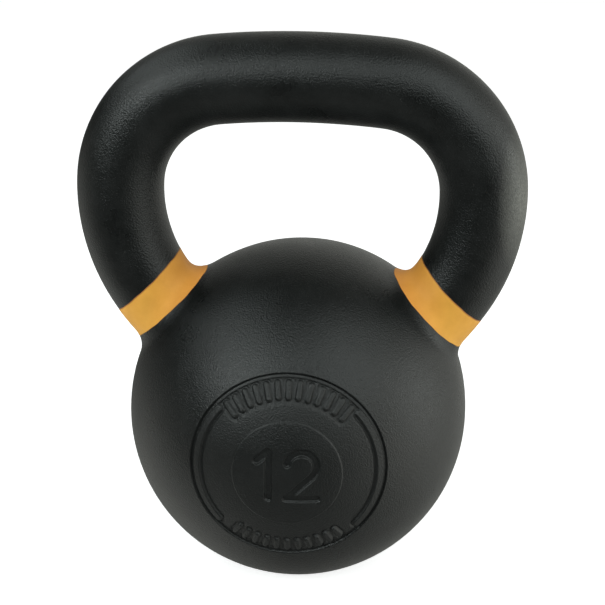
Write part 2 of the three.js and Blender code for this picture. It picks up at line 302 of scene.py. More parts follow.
# %% Net
CROWN_ROWS, SHOULDER_ROWS, WIDEST_ROWS, HORN_ROWS, BLEND_ROWS, BALL_ROWS = 14, 34, 2, 20, 14, 40


def even_steps(low, high, count):
    """The count places after low that divide the stretch from low to high evenly, as a column."""
    share = (np.arange(count) + 1)[:, None] / count
    return low + (high - low) * share


def right_half():
    """Rows of points: over the bar by way, and from its widest place by the columns' steps."""
    ways = np.concatenate([
        np.zeros((1, 1)),
        even_steps(0, WAYS[1], CROWN_ROWS),
        even_steps(WAYS[1], WAYS[2], SHOULDER_ROWS),
        even_steps(WAYS[2], WIDEST, WIDEST_ROWS),
    ])
    steps = np.concatenate([
        even_steps(0, 1, HORN_ROWS),
        even_steps(1, 2, BLEND_ROWS),
        even_steps(2, 3, BALL_ROWS),
    ])
    return np.concatenate([bar_skin(ways, TURNS), column_point(steps + 0 * TURNS)])


half = right_half()
half[[0, -1], :, 0] = 0
MIDDLE_ROW = len(half) - 1
net = np.concatenate([half, half[-2:0:-1] * [-1, 1, 1]])
ROWS = len(net)
print(f"net of {ROWS} rows and {COLUMNS} columns")

# %% [markdown]
# ## Two round places in a square net
#
# The medallion on the front and the base underneath are round, and a round edge cut across a square
# net comes out ragged. So a block of the net is left out at each place, and rings are laid into the
# hole. The first few draw the block's border in to a circle, and the later ones are even circles
# with as many points as the relief needs there. Two rings of different counts are closed as a zip
# closes: triangles from side to side, each step taken on the ring whose next edge comes first.

# %% Mesh in the making
class Patchwork:
    """Points and faces that grow piece by piece; faces are given by the numbers of their points."""

    def __init__(self):
        self.points, self.faces, self.count = [], [], 0

    def add(self, points):
        """Takes some points in and returns their numbers, in the shape in which they came."""
        flat = np.reshape(points, (-1, 3))
        self.points.append(flat)
        self.count += len(flat)
        return np.arange(self.count - len(flat), self.count).reshape(np.shape(points)[:-1])

    def fill(self, *corners):
        """One face for each place in the given arrays of corner numbers."""
        self.faces.append(np.stack([np.ravel(corner) for corner in corners], -1))

    def join_rings(self, outer, outer_turn, inner, inner_turn):
        """Faces between two rings that run clockwise as seen from outside. The turns are shares of a
        whole turn. Matching rings get squares. Others are zipped: an edge meets the point of the other
        ring that is reached when all edges with an earlier middle have been passed."""
        if len(outer) == len(inner) and np.allclose(outer_turn, inner_turn):
            self.fill(outer, inner, np.roll(inner, -1), np.roll(outer, -1))
            return
        outer_middle = (outer_turn + np.append(outer_turn[1:], 1)) / 2
        inner_middle = (inner_turn + np.append(inner_turn[1:], 1)) / 2
        met_inside = inner[np.searchsorted(inner_middle, outer_middle, side="left") % len(inner)]
        met_outside = outer[np.searchsorted(outer_middle, inner_middle, side="right") % len(outer)]
        self.fill(outer, met_inside, np.roll(outer, -1))
        self.fill(met_outside, inner, np.roll(inner, -1))

    def close_ring(self, ring, centre):
        """A fan of triangles from a ring to one point in its middle."""
        tip = np.full(len(ring), self.add(np.reshape(centre, (1, 3)))[0])
        self.fill(ring, tip, np.roll(ring, -1))


def block_border(numbers, column, half_columns, half_rows):
    """Numbers of the net's points round a block, clockwise from the middle of its upper side."""
    rows = np.arange(-half_rows, half_rows + 1) + MIDDLE_ROW
    columns = np.arange(-half_columns, half_columns + 1) + column
    top = numbers[rows[half_rows:0:-1], columns[0]]
    right = numbers[rows[0], columns[:-1]]
    bottom = numbers[rows[:-1], columns[-1]]
    left = numbers[rows[-1], columns[:0:-1]]
    return np.concatenate([top, right, bottom, left, numbers[rows[:half_rows:-1], columns[0]]])


def circle(radius, count):
    """Right and up coordinates of evenly spread points, clockwise from the top."""
    angle = 2 * math.pi * np.arange(count) / count
    return radius * np.sin(angle), radius * np.cos(angle)


class Disc:
    """A round place on the ball: which way it faces, and which ways are right and up on it."""

    def __init__(self, facing, right, up):
        self.facing, self.right, self.up = np.array(facing), np.array(right), np.array(up)

    def on_ball(self, right, up, height=0.0):
        """The point of the ball under these coordinates, raised by some height along its ray."""
        depth = np.sqrt(BALL_RADIUS ** 2 - right ** 2 - up ** 2)
        ray = right[..., None] * self.right + up[..., None] * self.up + depth[..., None] * self.facing
        return BALL_CENTRE + ray * (1 + np.asarray(height)[..., None] / BALL_RADIUS)

    def rounding(self, points, radius, ring_count):
        """Rings that draw a border of points in to a circle, each point straight towards the disc's
        middle, and the turn at which each point stays."""
        right, up = (points - BALL_CENTRE) @ self.right, (points - BALL_CENTRE) @ self.up
        distance, angle = np.hypot(right, up), np.unwrap(np.arctan2(right, up))
        share = (np.arange(ring_count) + 1)[:, None] / ring_count
        distance = distance + (radius - distance) * share
        return self.on_ball(distance * np.sin(angle), distance * np.cos(angle)), angle / (2 * math.pi)


# %% [markdown]
# ## The base
#
# The underside was ground flat, so that the bell stands without rocking, and its edge was softened
# before the coat went on. The rings of the base follow that profile: ball, a short parabola, flat.

# %% Base profile
BASE_RADIUS = 28.5 * MM
EDGE_RADIUS = 31 * MM


def base_height(radius):
    """Height over the floor. Outside the edge it is the ball's own: its centre's height less the root
    of the ball's radius squared less this radius squared. Inside, it falls to zero as the square of
    the share of the edge that is left."""
    ball = BALL_HEIGHT - np.sqrt(BALL_RADIUS ** 2 - radius ** 2)
    edge = BALL_HEIGHT - math.sqrt(BALL_RADIUS ** 2 - EDGE_RADIUS ** 2)
    share = np.clip((radius - BASE_RADIUS) / (EDGE_RADIUS - BASE_RADIUS), 0, 1)
    return np.where(radius > EDGE_RADIUS, ball, edge * share ** 2)


# %% [markdown]
# ## The medallion
#
# The round sign on the front is cast with the ball: a groove cut in a ring, a sunk field, and on it
# what the mould maker left standing at the ball's own level. Here that is a rib on either side and a
# row of plain bars above and below. In the middle is a low boss, and the weight in kilograms is sunk
# into it as a plain number. Each form is given by how deep a point lies inside it, and one soft step
# turns that depth into height, as draft and coat round off every edge of a casting.

# %% Relief
GROOVE_OUTSIDE, GROOVE_INSIDE, GROOVE_DEPTH = 37.5, 36.3, 0.9
FIELD_DEPTH = 0.65
RIB_MIDDLE, RIB_HALF, RIB_ENDS = 35.1, 1.2, (49, 131)
BAR_HALF, BAR_OUTSIDE, BAR_PITCH = 1.1, 35.6, math.radians(7.2)
UPPER_BARS = dict(length=7, count=6)
LOWER_BARS = dict(length=5.8, count=5)
BOSS_RADIUS, BOSS_RISE = 21.0, 0.38
MOAT_WIDTH, MOAT_DEPTH = 0.9, 0.5
GROOVE_SOFT, STANDING_SOFT, MOAT_SOFT, BOSS_SOFT, NUMBER_SOFT = 0.45, 0.4, 0.5, 0.5, 0.6


def soft_step(depth, width):
    """0 outside, 1 inside, and between them 3 s squared less 2 s cubed over the given width."""
    share = np.clip(depth / width + 0.5, 0, 1)
    return share * share * (3 - 2 * share)


def inside_arc(right, up, middle, half, ends):
    """How deep a point lies in a round-ended arc, mirrored left to right. The nearest point of the
    arc's middle line has the point's own angle, held between the two ends, given in degrees."""
    angle = np.clip(np.arctan2(np.abs(right), up), *np.radians(ends))
    return half - np.hypot(np.abs(right) - middle * np.sin(angle), up - middle * np.cos(angle))


def inside_bars(right, up, length, count):
    """How deep a point lies in the nearest of a fan of round-ended bars about the up direction, with
    the given count on either side of the middle one. The bar's own frame is the plane turned by a
    whole number of pitches."""
    angle, radius = np.arctan2(right, up), np.hypot(right, up)
    off = angle - np.clip(np.round(angle / BAR_PITCH), -count, count) * BAR_PITCH
    across, along = radius * np.sin(off), radius * np.cos(off)
    nearest = np.clip(along, BAR_OUTSIDE - length + BAR_HALF, BAR_OUTSIDE - BAR_HALF)
    return BAR_HALF - np.hypot(across, along - nearest)


def inside_stroke(right, up, line, half):
    """How deep a point lies in a round-ended stroke along a line of points: half its width less the
    distance to the nearest of its segments, each found by the clipped dot product."""
    here = np.stack([right, up], -1)[..., None, :]
    start, step = line[:-1], np.diff(line, axis=0)
    share = np.clip(((here - start) * step).sum(-1) / (step ** 2).sum(-1), 0, 1)
    return half - np.linalg.norm(here - start - share[..., None] * step, axis=-1).min(-1)


STROKE_HALF, NUMBER_RISE, BOW, NUMBER_DEPTH = 1.35, 9.5, 5.6, 1.0
bow_turn = np.radians(np.linspace(168, -38, 15))
ONE = np.array([[-11.5, 5.6], [-7, NUMBER_RISE], [-7, -NUMBER_RISE]])
TWO = np.concatenate([
    np.stack([BOW + BOW * np.cos(bow_turn), NUMBER_RISE - BOW + BOW * np.sin(bow_turn)], -1),
    [[-0.2, -NUMBER_RISE], [11.4, -NUMBER_RISE]],
])


def relief(right, up):
    """Height over the ball, in millimetres. The groove, the field, the number and the moat round each
    rib and bar sink it. A rib or a bar lifts the field back to the ball, and the boss lifts it in part."""
    radius = np.hypot(right, up)
    groove = soft_step(GROOVE_OUTSIDE - radius, GROOVE_SOFT)
    groove = groove * soft_step(radius - GROOVE_INSIDE, GROOVE_SOFT)
    field = soft_step(GROOVE_INSIDE - radius, GROOVE_SOFT)
    ribs = inside_arc(right, up, RIB_MIDDLE, RIB_HALF, RIB_ENDS)
    bars = np.maximum(inside_bars(right, up, **UPPER_BARS), inside_bars(right, -up, **LOWER_BARS))
    inside = np.maximum(ribs, bars)
    standing = soft_step(inside, STANDING_SOFT)
    moat = soft_step(inside + MOAT_WIDTH, MOAT_SOFT) - standing
    boss = BOSS_RISE * soft_step(BOSS_RADIUS - radius, BOSS_SOFT)
    number = np.maximum(*[inside_stroke(right, up, figure, STROKE_HALF) for figure in (ONE, TWO)])
    sunk = FIELD_DEPTH * (1 - standing) - boss + MOAT_DEPTH * moat
    sunk = sunk + NUMBER_DEPTH * soft_step(number, NUMBER_SOFT)
    return -np.maximum(GROOVE_DEPTH * groove, sunk * field)


# %% [markdown]
# ## Laying it together
#
# The net gives up its two blocks, the rings go in, and every point that no face uses any more is
# dropped.

# %% Casting
def ring_plan(stretches):
    """Radii and point counts of rings, from the outside in. A stretch is its outer and inner radius
    in millimetres, the step between its rings and the count of points on each."""
    plan = []
    for outer, inner, step, count in stretches:
        radii = np.linspace(outer, inner, max(round((outer - inner) / step), 1) + 1)[1:]
        plan += [(radius, count) for radius in radii]
    return plan


BORDER_RINGS = 8
MEDALLION = Disc([0, -1, 0], [1, 0, 0], [0, 0, 1])
MEDALLION_ROUND = 39.4
MEDALLION_BLOCK = dict(column=COLUMNS // 4, half_columns=18, half_rows=22)
MEDALLION_RINGS = ring_plan([
    (MEDALLION_ROUND, 37.9, 0.5, 480), (37.9, 35.9, 0.11, 480), (35.9, 33.2, 0.22, 480),
    (33.2, 28.2, 0.33, 480), (28.2, 21.9, 0.8, 480), (21.9, 20.1, 0.15, 480), (20.1, 16.2, 0.8, 480),
    (16.2, 7, 0.25, 480), (7, 3.5, 0.25, 240), (3.5, 1.5, 0.4, 120), (1.5, 0.5, 0.5, 60),
])
BASE = Disc([0, 0, -1], [1, 0, 0], [0, -1, 0])
BASE_ROUND = 32.6
BASE_BLOCK = dict(column=COLUMNS // 2, half_columns=12, half_rows=11)
BASE_RINGS = ring_plan([
    (BASE_ROUND, 31.0, 0.5, 144), (31.0, 28.5, 0.3, 144), (28.5, 27.7, 0.4, 144),
    (27.7, 18, 2.5, 72), (18, 8, 2.5, 36), (8, 2, 3, 12),
])


def lay_rings(work, border, disc, first_radius, rings, shape):
    """Rings that turn the border into a circle on the ball, then the planned rings, each point of
    which is placed by the given shape, and a point in the middle."""
    layers, turn = disc.rounding(np.concatenate(work.points)[border], first_radius, BORDER_RINGS)
    layers = [(layer, turn) for layer in layers]
    layers += [(shape(*circle(radius * MM, count)), np.arange(count) / count) for radius, count in rings]
    ring = border
    for layer, layer_turn in layers:
        next_ring = work.add(layer)
        work.join_rings(ring, turn, next_ring, layer_turn)
        ring, turn = next_ring, layer_turn
    work.close_ring(ring, shape(*circle(0, 1)))


def medallion_shape(right, up):
    """The ball's own point, raised by the relief."""
    return MEDALLION.on_ball(right, up, relief(right / MM, up / MM) * MM)


def base_shape(right, up):
    """The base's profile at this radius, straight above the floor."""
    return np.stack([right, -up, base_height(np.hypot(right, up))], -1)


def casting_surface():
    """Points and faces of the whole casting."""
    work = Patchwork()
    numbers = work.add(net)
    keep = np.ones((ROWS, COLUMNS), bool)
    for block in (MEDALLION_BLOCK, BASE_BLOCK):
        rows = slice(MIDDLE_ROW - block["half_rows"], MIDDLE_ROW + block["half_rows"])
        columns = slice(block["column"] - block["half_columns"], block["column"] + block["half_columns"])
        keep[rows, columns] = False
    next_row, next_column = np.roll(numbers, -1, 0), np.roll(numbers, -1, 1)
    both = np.roll(next_row, -1, 1)
    work.fill(numbers[keep], next_row[keep], both[keep], next_column[keep])
    for block, disc, first_radius, rings, shape in (
        (MEDALLION_BLOCK, MEDALLION, MEDALLION_ROUND, MEDALLION_RINGS, medallion_shape),
        (BASE_BLOCK, BASE, BASE_ROUND, BASE_RINGS, base_shape),
    ):
        lay_rings(work, block_border(numbers, **block), disc, first_radius * MM, rings, shape)
    return work


def drop_unused(points, faces):
    """Only the points that some face uses, and the faces renumbered to them."""
    used, numbers = np.unique(np.concatenate([face.ravel() for face in faces]), return_inverse=True)
    cuts = np.cumsum([face.size for face in faces])[:-1]
    parts = np.split(numbers.ravel(), cuts)
    return points[used], [part.reshape(face.shape) for part, face in zip(parts, faces)]


def point_normals(points, faces):
    """Each face's area vector, summed onto its points: the cross product of a triangle's two sides or
    of a square's two diagonals, which are both twice the area."""
    total = np.zeros_like(points)
    for face in faces:
        corner = [points[numbers] for numbers in face.T]
        if len(corner) == 3:
            vector = np.cross(corner[1] - corner[0], corner[2] - corner[0])
        else:
            vector = np.cross(corner[2] - corner[0], corner[3] - corner[1])
        np.add.at(total, face, vector[:, None])
    return unit(total)


work = casting_surface()
casting_points, casting_faces = drop_unused(np.concatenate(work.points), work.faces)
triangle_count = sum(len(face) * (face.shape[1] - 2) for face in casting_faces)
print(len(casting_points), "points,", triangle_count, "triangles")

# %% [markdown]
# ## A hand-finished surface
#
# Sand casting and fettling leave long, very low waves in the iron, which show only in the way a
# highlight wavers. They are a sum of a few sines in different directions, less than a tenth of a
# millimetre deep in all, and they go inward only. The base was ground flat after casting, so they
# fade out there.

# %% Low waves
WAVE_DEPTH = 0.07 * MM
WAVE_LENGTHS = np.array([47, 39, 33, 28, 24, 21]) * MM
WAVE_WAYS = unit(np.array([[3, 1, 2], [-2, 3, 1], [1, -2, 3], [2, 2, -3], [-3, 1, -1], [1, 3, 2]]))
WAVE_STARTS = np.arange(6) * 1.7
WAVE_FADE = 6 * MM


def waviness(points):
    """Depth of the waves: half their depth times one less the mean of the sines of two pi times the
    way along each wave over its length, faded in above the base."""
    sines = np.sin(2 * math.pi * (points @ WAVE_WAYS.T) / WAVE_LENGTHS + WAVE_STARTS)
    return WAVE_DEPTH * (1 - sines.mean(-1)) / 2 * np.clip(points[..., 2] / WAVE_FADE, 0, 1)


# %% [markdown]
# A cast ball isn't quite a sphere either. This one is fuller on top, and more so to the right, by up
# to 1.4 mm over the CAD model's sphere. The handle stands higher and wider, so the casting keeps its
# overall size. The crest has nearly ended where the medallion starts, at less than a tenth of a
# millimetre: the finish moves points along their normals, and on the steep walls of a relief a larger
# move would fold the skin.

# %% Crest
CREST = unit(np.array([0.45, 0, 0.9]))
CREST_RISE = 1.4 * MM
CREST_REACH = math.radians(65)
CREST_FADE = 14 * MM


def crest(points):
    """How far the ball is full towards its crest. The rise is scaled by the square of one less the
    squared share of the reach away from the crest, and fades out as the surface leaves the ball."""
    from_centre = points - BALL_CENTRE
    away = np.arccos(np.clip(unit(from_centre) @ CREST, -1, 1)) / CREST_REACH
    over_ball = (np.linalg.norm(from_centre, axis=-1) - BALL_RADIUS) / CREST_FADE
    return CREST_RISE * np.clip(1 - away ** 2, 0, 1) ** 2 * np.clip(1 - over_ball, 0, 1) ** 2


def hand_finish(points):
    """How far outward the finished surface lies from the drawn one."""
    return crest(points) - waviness(points)


finish = hand_finish(casting_points)
casting_points = casting_points + point_normals(casting_points, casting_faces) * finish[:, None]
print(f"the finish lies {finish.min() / MM:.3f} to {finish.max() / MM:.3f} mm outward")


# %% Pieces
def make_mesh(name, points, faces, material, **attributes):
    """A smooth mesh object from points and a list of face arrays, with one float per point for each
    named attribute."""
    mesh = bpy.data.meshes.new(name)
    sizes = np.concatenate([np.full(len(face), face.shape[1]) for face in faces])
    corners = np.concatenate([face.ravel() for face in faces]).astype(np.int32)
    mesh.vertices.add(len(points))
    mesh.loops.add(len(corners))
    mesh.polygons.add(len(sizes))
    mesh.vertices.foreach_set("co", np.ravel(points).astype(np.float32))
    mesh.loops.foreach_set("vertex_index", corners)
    starts = np.concatenate([[0], np.cumsum(sizes)[:-1]]).astype(np.int32)
    mesh.polygons.foreach_set("loop_start", starts)
    mesh.update(calc_edges=True)
    mesh.shade_smooth()
    for key, values in attributes.items():
        attribute = mesh.attributes.new(key, "FLOAT", "POINT")
        attribute.data.foreach_set("value", np.ravel(values).astype(np.float32))
    mesh.materials.append(material)
    piece = bpy.data.objects.new(name, mesh)
    bpy.context.collection.objects.link(piece)
    print(f"{name}: {len(points)} points, {len(sizes)} faces, clean: {not mesh.validate()}")
    return piece


# %% [markdown]
# ## The coat on the iron
#
# The bell is dipped in nothing and sprayed with nothing wet: black powder is blown on and baked, and
# it melts to a satin skin with a fine orange peel. A black with a plain roughness looks like plastic,
# so the bump holds the peel, nibs of dust under the coat and small pits, the roughness wanders a
# little from place to place, and a pale highlight is painted into the colour on the outer side of
# the right horn.

# %% Coat
def add_node(tree, kind, **values):
    """A node of the given kind, with its settings, and its sockets' values by name with spaces as
    underscores."""
    node = tree.nodes.new("ShaderNode" + kind)
    for key, value in values.items():
        if hasattr(node, key):
            setattr(node, key, value)
        else:
            node.inputs[key.replace("_", " ")].default_value = value
    return node


def new_material(name, **settings):
    """A material and its node tree, shader and Object coordinates."""
    material = bpy.data.materials.new(name)
    material.use_nodes = True
    tree = material.node_tree
    shader = tree.nodes["Principled BSDF"]
    for key, value in settings.items():
        shader.inputs[key.replace("_", " ")].default_value = value
    return material, tree, shader, add_node(tree, "TexCoord").outputs["Object"]


def noise(tree, place, scale, detail, roughness=0.5):
    """A noise texture's value, in features per metre."""
    node = add_node(tree, "TexNoise", Scale=scale, Detail=detail, Roughness=roughness)
    tree.links.new(place, node.inputs["Vector"])
    return node.outputs["Fac"]


def remap(tree, value, low, high, to_low, to_high):
    """A straight line from low, high to to_low, to_high, held at both ends."""
    node = add_node(tree, "MapRange")
    for socket, number in zip(node.inputs[1:5], (low, high, to_low, to_high)):
        socket.default_value = number
    tree.links.new(value, node.inputs["Value"])
    return node.outputs["Result"]


def blend_colours(tree, share, low, high):
    """The mix of two colours, each either a socket or a linear RGB triple."""
    node = add_node(tree, "Mix", data_type="RGBA")
    for socket, colour in zip((node.inputs[6], node.inputs[7]), (low, high)):
        if isinstance(colour, tuple):
            socket.default_value = (*colour, 1)
        else:
            tree.links.new(colour, socket)
    tree.links.new(share, node.inputs[0])
    return node.outputs[2]


def calculate(tree, operation, *values):
    """The result of a math node whose inputs are each either a socket or a number."""
    node = add_node(tree, "Math", operation=operation)
    for socket, value in zip(node.inputs, values):
        if isinstance(value, (int, float)):
            socket.default_value = value
        else:
            tree.links.new(value, socket)
    return node.outputs[0]


def add_bump(tree, height, depth, below=None):
    """A bump node whose height runs over the given depth in metres, laid over an earlier one."""
    node = add_node(tree, "Bump", Strength=1.0, Distance=depth)
    tree.links.new(height, node.inputs["Height"])
    if below:
        tree.links.new(below, node.inputs["Normal"])
    return node.outputs["Normal"]


def sparse_dots(tree, place, scale, radius, share):
    """1 in the middle of small round spots and 0 elsewhere: the distance to the nearest point of a
    Voronoi pattern, for that share of its cells whose random colour is low enough."""
    cells = add_node(tree, "TexVoronoi", Scale=scale)
    tree.links.new(place, cells.inputs["Vector"])
    spot = remap(tree, cells.outputs["Distance"], 0.3 * radius * scale, radius * scale, 1, 0)
    return calculate(tree, "MULTIPLY", spot, calculate(tree, "LESS_THAN", cells.outputs["Color"], share))


# %% Black coat
COAT_DARK, COAT_LIGHT = (0.0034, 0.0040, 0.0038), (0.0072, 0.0081, 0.0078)
# the middle colour of the next line is a painted highlight for the outer side of the right horn
COAT_SUNK, COAT_PAINTED_HIGHLIGHT, COAT_DUST = (0.0074, 0.0082, 0.0078), (0.14, 0.14, 0.122), (0.035, 0.035, 0.032)
SUNK_ROUGHNESS = 0.12
SUNK_EDGE = 1
BOSS_SHINE = 0.35
# centre and reach of the painted highlight on the right horn's outer side
HIGHLIGHT_CENTRE = np.array([88, -9, 157]) * MM
HIGHLIGHT_REACH = np.array([14, 15, 32]) * MM


def coat_material():
    """Black satin powder coat, in faint patches. It is duller in the sunk medallion, has a pale highlight
    painted into its colour in an egg-shaped place on the outer side of the right horn, and is speckled
    with dust."""
    material, tree, shader, place = new_material("black_powder_coat", IOR=1.5)
    sunk = add_node(tree, "Attribute", attribute_name="in_medallion").outputs["Fac"]
    patches = remap(tree, noise(tree, place, 60, 5, 0.75), 0.35, 0.65, 0, 1)
    body = blend_colours(tree, sunk, blend_colours(tree, patches, COAT_DARK, COAT_LIGHT), COAT_SUNK)
    around = add_node(tree, "Mapping", Scale=[1 / reach for reach in HIGHLIGHT_REACH],
                      Location=[-at / reach for at, reach in zip(HIGHLIGHT_CENTRE, HIGHLIGHT_REACH)])
    tree.links.new(place, around.inputs["Vector"])
    away = add_node(tree, "VectorMath", operation="LENGTH")
    tree.links.new(around.outputs["Vector"], away.inputs[0])
    near = remap(tree, away.outputs["Value"], 0.1, 1, 1, 0)
    highlight_grain = remap(tree, noise(tree, place, 900, 3, 0.6), 0.3, 0.7, 0.4, 1)
    # painted highlight: the pale colour, broken up by fine noise, fades out from the centre of its
    # egg-shaped place
    body = blend_colours(tree, calculate(tree, "MULTIPLY", near, highlight_grain), body, COAT_PAINTED_HIGHLIGHT)
    dust = sparse_dots(tree, place, 170, 0.0003, 0.5)
    tree.links.new(blend_colours(tree, dust, body, COAT_DUST), shader.inputs["Base Color"])
    satin = remap(tree, noise(tree, place, 60, 4), 0.3, 0.7, 0.26, 0.34)
    roughness = calculate(tree, "MULTIPLY_ADD", sunk, SUNK_ROUGHNESS, satin)
    tree.links.new(roughness, shader.inputs["Roughness"])
    peel = add_bump(tree, noise(tree, place, 1500, 2, 0.6), 0.00024)
    nibs = add_bump(tree, sparse_dots(tree, place, 200, 0.0004, 0.6), 0.00006, peel)
    pits = add_bump(tree, sparse_dots(tree, place, 75, 0.0006, 0.4), -0.00008, nibs)
    tree.links.new(pits, shader.inputs["Normal"])
    return material


black_coat = coat_material()
from_axis = np.hypot(casting_points[:, 0], casting_points[:, 2] - BALL_HEIGHT) / MM
sunk_share = soft_step(GROOVE_INSIDE - from_axis, SUNK_EDGE)
sunk_share = sunk_share - BOSS_SHINE * soft_step(BOSS_RADIUS - from_axis, SUNK_EDGE)
sunk_share = sunk_share * (casting_points[:, 1] < 0)
casting = make_mesh("casting_skin", casting_points, casting_faces, black_coat, in_medallion=sunk_share)
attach(casting, "root")
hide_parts("bell_casting")

# %% [markdown]
# ## The colour bands
#
# The bands are masked off and brushed on over the coat, so each is a film a tenth of a millimetre
# thick that follows the horn, the blend and the ball under it. Its two edges lie in planes square to
# a line that leans 45 degrees out from the ball's centre, and tape never seals quite evenly, so they
# waver by a hair. The film is a closed skin: over the top, round both edges and back underneath.

# %% Bands
BAND_AXIS = np.array([math.sqrt(0.5), 0, math.sqrt(0.5)])
BAND_EDGES = np.array([81.6, 68.1]) * MM
FILM = 0.1 * MM
FILM_SEAT = 0.3 * MM
EDGE_TUCK = 0.06 * MM
EDGE_ROUNDING = 0.45 * MM
LAST_STEP = 2.8
TOP_ROWS, UNDER_ROWS = 22, 5


def edge_steps(reach, waver):
    """The step on each column at which the skin is as far along the band's axis as the reach."""
    def beyond(step):
        return (column_point(step) - BALL_CENTRE) @ BAND_AXIS - reach - waver

    return way_solving(beyond, 0 * TURNS, 0 * TURNS + LAST_STEP)


def tape_waver(seed):
    """A hair of wandering round the band: three sines of the turn."""
    turn = TURNS[:, None] * [3, 7, 16] + np.array([1.0, 2.3, 4.1]) * seed
    return (np.sin(turn) * [0.10, 0.07, 0.05]).sum(-1) * MM


def film_profile():
    """Share across the band and height over the skin, once round the film. On top the height is a
    quarter ellipse near each edge, the root of one less the square of what is missing to the full
    rounding, and the edge itself is tucked into the coat. Underneath it is flat."""
    share = (1 - np.cos(np.linspace(0, math.pi, TOP_ROWS))) / 2
    to_edge = np.minimum(share, 1 - share) * (BAND_EDGES[0] - BAND_EDGES[1])
    missing = 1 - np.clip(to_edge / EDGE_ROUNDING, 0, 1)
    top = (FILM + EDGE_TUCK) * np.sqrt(1 - missing ** 2) - EDGE_TUCK
    back = np.linspace(1, 0, UNDER_ROWS)
    return np.concatenate([share, back]), np.concatenate([top, 0 * back - FILM_SEAT])


def band_skin(side):
    """Points of one band's film, as rows round the profile by columns, and the distance in millimetres
    to the nearer edge. Both films are drawn alike on the two sides, but each rises and falls with the
    hand finish of the skin on its own side: 1 is the right, -1 the left."""
    share, height = film_profile()
    upper = edge_steps(BAND_EDGES[0], tape_waver(1))
    lower = edge_steps(BAND_EDGES[1], tape_waver(2))
    steps = upper + (lower - upper) * share[:, None]
    points = column_point(steps)
    nudge = 0.01
    down = column_point(steps + nudge) - column_point(steps - nudge)
    across = np.roll(points, -1, 1) - np.roll(points, 1, 1)
    normal = unit(np.cross(down, across))
    mirror = np.array([side, 1, 1])
    points = points + normal * (height[:, None] + hand_finish(points * mirror))[..., None]
    to_edge = np.minimum(share, 1 - share) * (BAND_EDGES[0] - BAND_EDGES[1]) / MM
    return points * mirror, np.broadcast_to(to_edge[:, None], points.shape[:2])


def wrapped_quads(rows, columns):
    """Faces of a net that closes both ways, each corner's number worked out from row and column."""
    numbers = np.arange(rows * columns).reshape(rows, columns)
    below, beside = np.roll(numbers, -1, 0), np.roll(numbers, -1, 1)
    return np.stack([numbers, below, np.roll(below, -1, 1), beside], -1).reshape(-1, 4)


# %% Orange paint
PAINT_OUTSIDE = (0.59, 0.280, 0.032), (0.66, 0.320, 0.042)
# the brighter colour towards the window is painted light that lifts the shade on the window side of the
# bands
PAINT_INSIDE_PAINTED_LIGHT = (0.80, 0.315, 0.054), (0.88, 0.365, 0.072)
PAINT_EDGE = (0.22, 0.07, 0.02)
OUTSIDE_FROM, INSIDE_FROM = 60 * MM, 38 * MM


def paint_material():
    """Orange enamel, brushed on by hand, thin and brown along its edges. Its colour is darker outside
    and brighter towards the window, which is painted light lifting the shade there."""
    material, tree, shader, place = new_material("orange_band_paint", IOR=1.48, Specular_IOR_Level=0.3)
    patches = remap(tree, noise(tree, place, 90, 4, 0.6), 0.35, 0.65, 0, 1)
    axes = add_node(tree, "SeparateXYZ")
    tree.links.new(place, axes.inputs["Vector"])
    sideways = calculate(tree, "ABSOLUTE", axes.outputs["X"])
    painted_light_share = remap(tree, sideways, OUTSIDE_FROM, INSIDE_FROM, 0, 1)
    outside = blend_colours(tree, patches, *PAINT_OUTSIDE)
    inside = blend_colours(tree, patches, *PAINT_INSIDE_PAINTED_LIGHT)
    # painted light: the colour brightens towards the window, where the bands lie in shade
    body = blend_colours(tree, painted_light_share, outside, inside)
    edge = add_node(tree, "Attribute", attribute_name="to_edge").outputs["Fac"]
    colour = blend_colours(tree, remap(tree, edge, 0.08, 0.34, 0, 1), PAINT_EDGE, body)
    tree.links.new(colour, shader.inputs["Base Color"])
    roughness = remap(tree, noise(tree, place, 150, 3), 0.3, 0.7, 0.45, 0.6)
    tree.links.new(roughness, shader.inputs["Roughness"])
    peel = add_bump(tree, noise(tree, place, 600, 1.5), 0.00008)
    tree.links.new(peel, shader.inputs["Normal"])
    return material


orange_paint = paint_material()
for name, side in (("right", 1), ("left", -1)):
    band_points, band_to_edge = band_skin(side)
    faces = wrapped_quads(*band_points.shape[:2])[:, ::side]
    band = make_mesh(f"{name}_band_film", band_points.reshape(-1, 3), [faces], orange_paint,
                     to_edge=band_to_edge)
    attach(band, "root")
    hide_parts(f"{name}_colour_band")
    band.visible_glossy = False

# %% [markdown]
# ## Floor, camera and light
#
# The bell stands on a pale studio floor inside a white drum. The camera looks down on it from a
# little to the right.

# %% Floor
FLOOR_GLOW = 0.80
FLOOR_DROP = 0.1 * MM
FLOOR_REACH = 6.0


def stage_sheet(name, points, faces, material):
    """A flat or upright sheet of the set, which isn't part of the object."""
    mesh = bpy.data.meshes.new(name)
    mesh.from_pydata(points, [], faces)
    mesh.materials.append(material)
    sheet = bpy.data.objects.new(name, mesh)
    bpy.context.collection.objects.link(sheet)
    sheet.visible_glossy = False
    sheet.visible_shadow = False
    return sheet


def studio_floor():
    """A wide flat sheet just under the base, lit a little from below as a light table is."""
    material, tree, shader, place = new_material("floor_paper", Roughness=0.9, IOR=1.3)
    paper = blend_colours(tree, noise(tree, place, 4, 2), (0.86, 0.86, 0.86), (0.88, 0.88, 0.88))
    tree.links.new(paper, shader.inputs["Base Color"])
    shader.inputs["Emission Color"].default_value = (1, 1, 1, 1)
    shader.inputs["Emission Strength"].default_value = FLOOR_GLOW
    ends = [(-1, -1), (1, -1), (1, 1), (-1, 1)]
    corners = [(x * FLOOR_REACH, y * FLOOR_REACH, -FLOOR_DROP) for x, y in ends]
    stage_sheet("studio_floor", corners, [(0, 1, 2, 3)], material)


